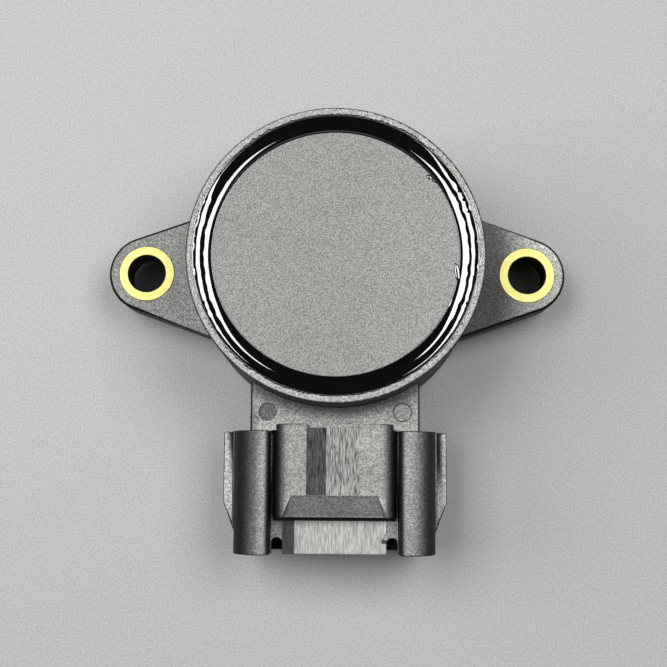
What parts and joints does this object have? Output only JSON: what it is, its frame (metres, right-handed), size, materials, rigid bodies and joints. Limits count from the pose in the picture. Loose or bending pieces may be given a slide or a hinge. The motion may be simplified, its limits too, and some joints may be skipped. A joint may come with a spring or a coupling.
{
  "type": "throttle position sensor",
  "caption": "Round potted cup with two bushed ears and a four-way blade connector on a neck; a sprung rotor inside turns with the throttle shaft.",
  "frame": {"origin": "the rotor's axis at the mounting face", "axes": "+Z out of the lid along the rotor's axis, +X along the two screw holes, -Y out of the connector's mouth"},
  "size_m": [0.0648, 0.0583, 0.0235],
  "materials": {
    "housing_plastic": "glass-filled plastic, fine spark-eroded grain",
    "bush_brass": "turned, pale yellow",
    "lid_plastic": "plain matt grey disc",
    "sealant": "cured black potting compound, glossy",
    "terminal_metal": "tin plated",
    "board_laminate": "glass laminate",
    "track_ink": "printed carbon ink",
    "solder": "bright solder",
    "rotor_plastic": "natural acetal",
    "wiper_metal": "spring alloy sheet",
    "washer_plastic": "natural low-friction plastic",
    "spring_steel": "spring wire and strip"
  },
  "bodies": {
    "housing": {"housing": "housing_plastic", "bush_left": "bush_brass", "bush_right": "bush_brass", "lid": "lid_plastic", "sealant_ring": "sealant", "terminal_1": "terminal_metal", "terminal_2": "terminal_metal", "terminal_3": "terminal_metal", "terminal_4": "terminal_metal", "resistor_board": "board_laminate", "tracks": "track_ink", "solder_joints": "solder", "thrust_washer": "washer_plastic", "return_spring": "spring_steel", "spring_washer": "spring_steel"},
    "rotor": {"rotor": "rotor_plastic", "signal_wiper": "wiper_metal", "idle_wiper": "wiper_metal"}
  },
  "joints": [
    {"name": "rotor_turn", "type": "hinge", "parent": "housing", "child": "rotor", "pos_m": [0, 0, 0], "axis": [0, 0, 1], "range_deg": [0, 105], "stiffness_Nm_per_rad": 0.01, "springref_deg": -51.57, "deforming": ["return_spring"]}
  ]
}
